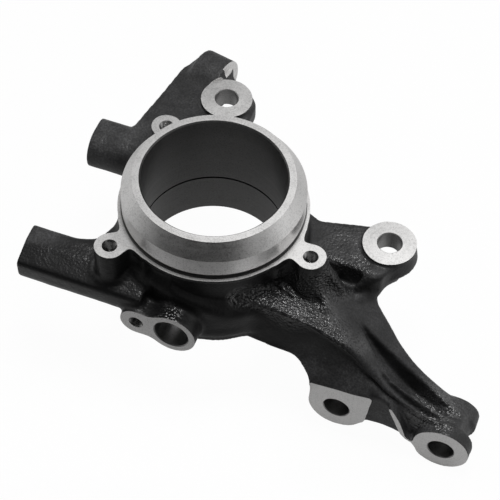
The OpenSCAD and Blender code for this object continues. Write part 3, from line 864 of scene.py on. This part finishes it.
def closed(mesh):
    """Merges the points at a tool's axis and turns its faces outwards."""
    work = bmesh.new()
    work.from_mesh(mesh)
    bmesh.ops.remove_doubles(work, verts=work.verts, dist=1e-6)
    bmesh.ops.recalc_face_normals(work, faces=work.faces)
    work.to_mesh(mesh)
    work.free()


def machined(body, tools, finishes):
    """The raw casting's mesh with every tool's shape cut away. The faces that a tool leaves take the
    tool's finish."""
    cutters = []
    for name, (vertices, faces, marks), stand, finish in tools:
        placed = vertices @ np.array(stand.to_3x3()).T + np.array(stand.translation)
        mesh = mesh_of(name, placed, faces, marks)
        closed(mesh)
        mesh.materials.append(finishes[finish])
        cutter = bpy.data.objects.new(name, mesh)
        bpy.context.collection.objects.link(cutter)
        cutters.append(cutter)
        cut = body.modifiers.new(name, "BOOLEAN")
        cut.object, cut.operation = cutter, "DIFFERENCE"
        cut.solver, cut.material_mode = "MANIFOLD", "TRANSFER"
    bpy.context.view_layer.update()
    mesh = bpy.data.meshes.new_from_object(body.evaluated_get(bpy.context.evaluated_depsgraph_get()))
    body.modifiers.clear()
    for cutter in cutters:
        bpy.data.objects.remove(cutter)
    return mesh


def finish_edges(mesh, skin_index):
    """Smooth shading, with a sharp edge where finishes meet and where two machined faces turn by more
    than 30 degrees. Marks on each vertex how far it faces up, how pebbly its place is, and how much
    grey coat, painted light and painted shade its place takes."""
    sharpest = math.cos(math.radians(30))
    normals = values_of(mesh.polygons, "normal", width=3)
    finish = values_of(mesh.polygons, "material_index", np.int32)
    edge_of = values_of(mesh.loops, "edge_index", np.int32)
    face_of = np.repeat(np.arange(len(finish)), values_of(mesh.polygons, "loop_total", np.int32))
    order = np.argsort(edge_of, kind="stable")
    pairs = order[:len(order) // 2 * 2].reshape(-1, 2)
    a, b, edge = face_of[pairs[:, 0]], face_of[pairs[:, 1]], edge_of[pairs[:, 0]]
    turn = np.einsum("ij,ij->i", normals[a], normals[b])
    bare = (finish[a] != skin_index) & (finish[b] != skin_index)
    sharp = np.zeros(len(mesh.edges), bool)
    sharp[edge] = (finish[a] != finish[b]) | (bare & (turn < sharpest))
    mesh.polygons.foreach_set("use_smooth", np.ones(len(finish), bool))
    mesh.edges.foreach_set("use_edge_sharp", sharp)
    marks = {"upward": values_of(mesh.vertices, "normal", width=3)[:, 2].copy()}
    place = values_of(mesh.vertices, "co", width=3)[:, None] / MM
    for name, spots in (("pebbly", PEBBLY_SPOTS), ("dry", GREY_COAT_AND_PAINTED_LIGHT_SPOTS)):
        reach = np.linalg.norm(place - spots[None, :, :3], axis=2) / spots[:, 3]
        weight = (np.clip(1.8 - 1.8 * reach, 0, 1) * spots[:, 4]).sum(1)
        marks[name] = np.clip(weight, -1, 1)
    for name, values in marks.items():
        mesh.attributes.new(name, "FLOAT", "POINT").data.foreach_set("value", values)
    mesh.update()


# Shader maths


class Socket:
    """An output of a material's node, so that an expression on it adds the nodes that work it out."""

    def __init__(self, graph, output):
        self.graph, self.output = graph, output

    def math(self, operation, *values):
        return self.graph.node("ShaderNodeMath", {"operation": operation}, dict(enumerate(values)))

    def __add__(self, other):
        return self.math("ADD", self, other)

    def __sub__(self, other):
        return self.math("SUBTRACT", self, other)

    def __rsub__(self, other):
        return self.math("SUBTRACT", other, self)

    def __mul__(self, other):
        return self.math("MULTIPLY", self, other)

    __radd__, __rmul__ = __add__, __mul__

    def clamped(self):
        """Held between 0 and 1."""
        return self.graph.node("ShaderNodeClamp", {}, {"Value": self})

    def step(self, low, high):
        """0 below low, 1 above high, with a smooth rise between."""
        return self.graph.node("ShaderNodeMapRange", {"interpolation_type": "SMOOTHSTEP"}, {
            "Value": self, "From Min": low, "From Max": high})


class Graph:
    """A node tree that gets its nodes by one method."""

    def __init__(self, owner):
        owner.use_nodes = True
        self.tree = owner.node_tree
        self.tree.nodes.clear()

    def node(self, kind, settings=None, inputs=None, output=0):
        """A node of a kind, with its settings and the values or links of its sockets."""
        made = self.tree.nodes.new(kind)
        for name, value in (settings or {}).items():
            setattr(made, name, value)
        for name, value in (inputs or {}).items():
            if isinstance(value, Socket):
                self.tree.links.new(value.output, made.inputs[name])
            else:
                made.inputs[name].default_value = value
        return Socket(self, made.outputs[output]) if len(made.outputs) else made

    def object_place(self):
        """Place on the piece, in metres."""
        return self.node("ShaderNodeTexCoord", output="Object")

    def attribute(self, name):
        """A number that each vertex keeps."""
        return self.node("ShaderNodeAttribute", {"attribute_name": name}, output="Fac")

    def noise(self, size, detail, rough, at=None):
        """Noise whose features are about size millimetres across, or that size on a tool's own marks."""
        scale = 1 / (size * MM) if at is None else 1 / size
        return self.node("ShaderNodeTexNoise", {}, {
            "Vector": at or self.object_place(), "Scale": scale, "Detail": detail, "Roughness": rough})

    def mix(self, part, first, second):
        """Colour from first to second as part goes from 0 to 1."""
        first, second = (end if isinstance(end, Socket) else (*end, 1) for end in (first, second))
        return self.node("ShaderNodeMix", {"data_type": "RGBA"}, {0: part, 6: first, 7: second}, 2)

    def bump(self, height, distance, strength=1.0, under=None):
        """Normal bent by a height from 0 to 1 that stands for distance millimetres."""
        inputs = {"Height": height, "Distance": distance * MM, "Strength": strength}
        if under:
            inputs["Normal"] = under
        return self.node("ShaderNodeBump", {}, inputs)

    def principled(self, **inputs):
        """The main shader, its sockets named with _ for a space."""
        return self.node("ShaderNodeBsdfPrincipled", {}, {
            name.replace("_", " "): value for name, value in inputs.items()})

    def surface(self, shader):
        """Makes a shader the material's surface."""
        self.node("ShaderNodeOutputMaterial", {}, {"Surface": shader})


def cast_skin(finish):
    """Black coat over sand-cast iron: pebbles, finer grit and slow unevenness. Pebbly places stand out
    and glint more. Faces that look up are painted greyer, as painted light of the lamps overhead, and
    the listed spots paint the coat greyer or blacker, as thin grey coat, painted light and painted shade."""
    material = bpy.data.materials.new("cast_skin")
    g = Graph(material)
    upward, pebbly, grey_coat_and_painted_light_place = (g.attribute(name) for name in ("upward", "pebbly", "dry"))
    pebbles = g.node("ShaderNodeTexVoronoi", {"feature": "SMOOTH_F1"}, {
        "Vector": g.object_place(), "Scale": 1 / (1.55 * MM), "Smoothness": 0.35, "Randomness": 1.0})
    grit = g.noise(1.2, 3.0, 0.6)
    peel = g.noise(5.0, 2.0, 0.5)
    patches = g.noise(14.0, 3.0, 0.55)
    top = upward.step(0.1, 0.9)
    uneven = patches.step(0.35, 0.7)
    rough = pebbly * 0.85 + top * uneven * 0.08
    normal = g.bump(peel, 0.7, 0.35 + rough * 0.4)
    normal = g.bump(grit, 0.35, 0.35 + rough * 0.5, normal)
    normal = g.bump(1 - pebbles, 1.0, 0.05 + rough * 0.9, normal)
    # Painted light: faces that look up turn greyer as a sheen of the lamps overhead, and the spots add
    # thin grey coat, painted light and painted shade
    dry = (top * 0.42 + 0.05 + grey_coat_and_painted_light_place * 1.1).clamped()
    dry = dry * (grit.step(0.35, 0.7) * 0.6 + 0.4) * (0.5 + uneven * 0.6)
    coat = g.mix(dry, finish.skin, finish.grey_coat_and_painted_light_colour)
    dull = 0.42 + grit * 0.1 + grey_coat_and_painted_light_place * 0.1
    matt = g.principled(Base_Color=coat, Roughness=dull, Normal=normal, Specular_IOR_Level=0.25)
    wet = g.principled(Base_Color=coat, Roughness=0.15, Normal=normal, Specular_IOR_Level=1.0)
    gloss = pebbly * (0.4 + uneven * 0.6)
    g.surface(g.node("ShaderNodeMixShader", {}, {0: gloss, 1: matt, 2: wet}))
    return material


def bare_iron(name, finish, mark_size, mark_depth, roughness, tone):
    """Machined iron: tool marks in rings by the place on the tool, fine pores and a slow change of tone."""
    material = bpy.data.materials.new(name)
    g = Graph(material)
    marks = g.node("ShaderNodeUVMap", {"uv_map": "marks"})
    rings = g.noise(mark_size / 10, 3.0, 0.6, marks)
    broad = g.noise(mark_size / 2.2, 1.0, 0.5, marks)
    grain = g.noise(0.5, 2.0, 0.6)
    cloud = g.noise(9.0, 4.0, 0.62)
    pores = g.noise(0.6, 0.0, 0.5).step(0.70, 0.78)
    flecks = g.noise(1.0, 3.0, 0.75).step(0.3, 0.7)
    shade = (1 - pores * 0.4) * (0.38 + rings * 0.24 + cloud * 0.5 + flecks * 0.38)
    dark = tuple(channel * tone * 0.12 for channel in finish.iron)
    light = tuple(channel * tone for channel in finish.iron)
    normal = g.bump(rings, mark_depth, 1.0)
    normal = g.bump(grain, mark_depth * 0.7, 0.6, normal)
    dull = roughness + broad * 0.12 + cloud * 0.16 - rings * 0.06 + flecks * 0.05
    g.surface(g.principled(Base_Color=g.mix(shade, dark, light), Metallic=1.0, Roughness=dull, Normal=normal))
    return material


# Operators


class KNUCKLE_OT_cast(bpy.types.Operator):
    """Casts the raw knuckle, with stock on the faces that are machined later"""

    bl_idname = "knuckle.cast"
    bl_label = "Cast the knuckle"

    def execute(self, context):
        vertices, quads = cast_knuckle(context.scene.knuckle_casting)
        if len(quads) < 1000:
            raise RuntimeError("the casting came out empty")
        mesh = mesh_of("steering_knuckle", vertices, quads.tolist(), np.zeros((len(vertices), 2)))
        mesh.materials.append(cast_skin(context.scene.knuckle_finish))
        body = bpy.data.objects.new("steering_knuckle", mesh)
        context.collection.objects.link(body)
        return {"FINISHED"}


class KNUCKLE_OT_machine(bpy.types.Operator):
    """Turns, mills, drills and taps the raw knuckle"""

    bl_idname = "knuckle.machine"
    bl_label = "Machine the knuckle"

    def execute(self, context):
        finish, body = context.scene.knuckle_finish, bpy.data.objects["steering_knuckle"]
        finishes = {name: bare_iron(f"{name}_iron", finish, *looks) for name, looks in FINISHES.items()}
        before = len(body.data.polygons)
        mesh = machined(body, knuckle_tools(context.scene.knuckle_machining), finishes)
        if not before / 2 < len(mesh.polygons) < before * 2:
            raise RuntimeError(f"machining left {len(mesh.polygons)} faces of {before}")
        finish_edges(mesh, 0)
        old, body.data = body.data, mesh
        bpy.data.meshes.remove(old)
        mesh.name = "steering_knuckle"
        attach(body, "root")
        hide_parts("knuckle")
        return {"FINISHED"}


def stage_place(out, across, height):
    """A place by how far it is from the origin towards the camera, to the right and up."""
    return SIDE * across - AWAY * out + (0, 0, height)


def lamp(name, place, size, power):
    """An area light at a place on the stage, in metres, turned to the casting's middle."""
    light = bpy.data.lights.new(name, "AREA")
    light.shape, light.size, light.size_y, light.energy = "RECTANGLE", size[0], size[1], power
    holder = bpy.data.objects.new(name, light)
    place, middle = Vector(stage_place(*place)), Vector((0.03, 0.02, -0.05))
    turn = (middle - place).to_track_quat("-Z", "Y")
    holder.matrix_world = Matrix.Translation(place) @ turn.to_matrix().to_4x4()
    bpy.context.collection.objects.link(holder)


def card(name, tone, corners):
    """A dark card that only the gloss sees, which keeps the white surroundings out of it. Its corners
    are places on the stage in millimetres."""
    corners = np.array([stage_place(*corner) for corner in corners])
    mesh = mesh_of(name, corners, [list(range(len(corners)))], np.zeros((len(corners), 2)))
    held = bpy.data.objects.new(name, mesh)
    bpy.context.collection.objects.link(held)
    matt = bpy.data.materials.new(name)
    g = Graph(matt)
    g.surface(g.node("ShaderNodeBsdfDiffuse", {}, {"Color": (tone, tone, tone, 1)}))
    mesh.materials.append(matt)
    held.visible_camera = held.visible_shadow = False


def seen_directly(g, camera, gloss):
    """How white a ray finds the background: one from the camera, or one that a gloss or glass sends on."""
    rays = (("Camera", camera), ("Glossy", gloss), ("Transmission", gloss))
    seen = [g.node("ShaderNodeLightPath", output=f"Is {ray} Ray") * white for ray, white in rays]
    return seen[0] + seen[1] + seen[2]


def lay_floor(studio):
    """A round floor just below the casting."""
    gap, reach, sides = 0.0006, 5.0, 64
    low = CAD_BOX[0][2] - gap
    angle = np.linspace(0, math.tau, sides, endpoint=False)
    rim = np.stack([reach * np.cos(angle), reach * np.sin(angle), np.full(sides, low)], 1)
    mesh = bpy.data.meshes.new("floor")
    mesh.from_pydata(rim.tolist(), [], [list(range(sides))])
    floor = bpy.data.objects.new("floor", mesh)
    bpy.context.collection.objects.link(floor)
    material = bpy.data.materials.new("floor")
    g = Graph(material)
    matt = g.node("ShaderNodeBsdfDiffuse", {}, {"Color": (*studio.floor, 1)})
    glow = g.node("ShaderNodeEmission", {}, {"Color": WHITE, "Strength": 1.0})
    g.surface(g.node("ShaderNodeMixShader", {}, {0: seen_directly(g, 0.97, studio.glow), 1: matt, 2: glow}))
    mesh.materials.append(material)


def light_world(scene, studio):
    """White to the camera, and dim to everything else."""
    scene.world = bpy.data.worlds.new("studio")
    g = Graph(scene.world)
    dim, bright = (g.node("ShaderNodeBackground", {}, {"Color": WHITE, "Strength": strength})
                   for strength in (studio.world, 1.0))
    both = g.node("ShaderNodeMixShader", {}, {0: seen_directly(g, 1.0, studio.glow), 1: dim, 2: bright})
    g.node("ShaderNodeOutputWorld", {}, {"Surface": both})


def hang_cards():
    """Upright cards before the casting and to its left, and two that lie in front of it."""
    foot, top, lying = -130, 550, -125
    left, right, far_left = (620, -420), (620, 420), (320, -900)
    for name, tone, a, b in (("front_flag", 0.02, left, right), ("left_flag", 0.05, far_left, left)):
        card(name, tone, [(*a, foot), (*b, foot), (*b, top), (*a, top)])
    edge = [(122, 45), (118, -260)]
    for name, tone, outline in (
            ("low_flag", 0.2, [left, right, (170, 240), (160, 110), *edge]),
            ("near_flag", 0.6, [*edge[::-1], (60, 45), (60, -220)])):
        card(name, tone, [(*place, lying) for place in outline])


def aim_camera(scene):
    """The photograph's camera, at the place that puts the origin on its pixel."""
    back = np.array([*(-AWAY[:2] * math.cos(ELEVATION)), math.sin(ELEVATION)])
    upright = np.cross(back, SIDE)
    c, s = math.cos(ROLL), math.sin(ROLL)
    axes = np.array([c * SIDE + s * upright, c * upright - s * SIDE, back])
    shift, middle = DISTANCE / FOCAL_PX, FRAME_PX / 2
    centre = np.array([(ORIGIN_PX[0] - middle) * shift, (middle - ORIGIN_PX[1]) * shift, -DISTANCE])
    camera = bpy.data.cameras.new("camera")
    camera.sensor_width, camera.lens = SENSOR_WIDTH, FOCAL_PX * SENSOR_WIDTH / FRAME_PX
    camera.clip_start, camera.clip_end = 0.05, 20
    holder = bpy.data.objects.new("camera", camera)
    holder.matrix_world = Matrix.Translation(-(axes.T @ centre) * MM) @ Matrix(axes.T.tolist()).to_4x4()
    bpy.context.collection.objects.link(holder)
    scene.camera = holder


class KNUCKLE_OT_stage(bpy.types.Operator):
    """Sets up the floor, the light and the camera"""

    bl_idname = "knuckle.stage"
    bl_label = "Set the stage"

    def execute(self, context):
        scene, studio = context.scene, context.scene.knuckle_studio
        lay_floor(studio)
        light_world(scene, studio)
        lamp("overhead", (-0.33, 0.36, 0.7), (0.78, 0.66), studio.key_power)
        lamp("small", (0, 0.05, 1.15), (0.36, 0.36), studio.spark_power)
        lamp("left", (-0.5, -1.2, 0.45), (0.9, 1.0), studio.side_power)
        lamp("right", (0, 1.3, 0.45), (0.9, 1.0), studio.side_power)
        hang_cards()
        aim_camera(scene)
        scene.view_settings.view_transform = "Standard"
        return {"FINISHED"}


class KNUCKLE_PT_panel(bpy.types.Panel):
    """The knuckle's settings and steps"""

    bl_label = "Steering knuckle"
    bl_idname = "KNUCKLE_PT_panel"
    bl_space_type = "VIEW_3D"
    bl_region_type = "UI"
    bl_category = "Knuckle"

    def draw(self, context):
        for title, name, operator in (
                ("Casting", "knuckle_casting", KNUCKLE_OT_cast),
                ("Machining", "knuckle_machining", KNUCKLE_OT_machine),
                ("Finish", "knuckle_finish", None),
                ("Studio", "knuckle_studio", KNUCKLE_OT_stage)):
            box = self.layout.box()
            box.label(text=title)
            for setting in GROUPS[name].__annotations__:
                box.prop(getattr(context.scene, name), setting)
            if operator:
                box.operator(operator.bl_idname)


CLASSES = (CastingSettings, MachiningSettings, FinishSettings, StudioSettings,
           KNUCKLE_OT_cast, KNUCKLE_OT_machine, KNUCKLE_OT_stage, KNUCKLE_PT_panel)
GROUPS = {"knuckle_casting": CastingSettings, "knuckle_machining": MachiningSettings,
          "knuckle_finish": FinishSettings, "knuckle_studio": StudioSettings}


def register():
    for kind in CLASSES:
        bpy.utils.register_class(kind)
    for name, kind in GROUPS.items():
        setattr(bpy.types.Scene, name, bpy.props.PointerProperty(type=kind))


def unregister():
    for name in GROUPS:
        delattr(bpy.types.Scene, name)
    for kind in reversed(CLASSES):
        bpy.utils.unregister_class(kind)


def main():
    register()
    bpy.ops.knuckle.cast()
    bpy.ops.knuckle.machine()
    bpy.ops.knuckle.stage()


if __name__ == "__main__":
    main()
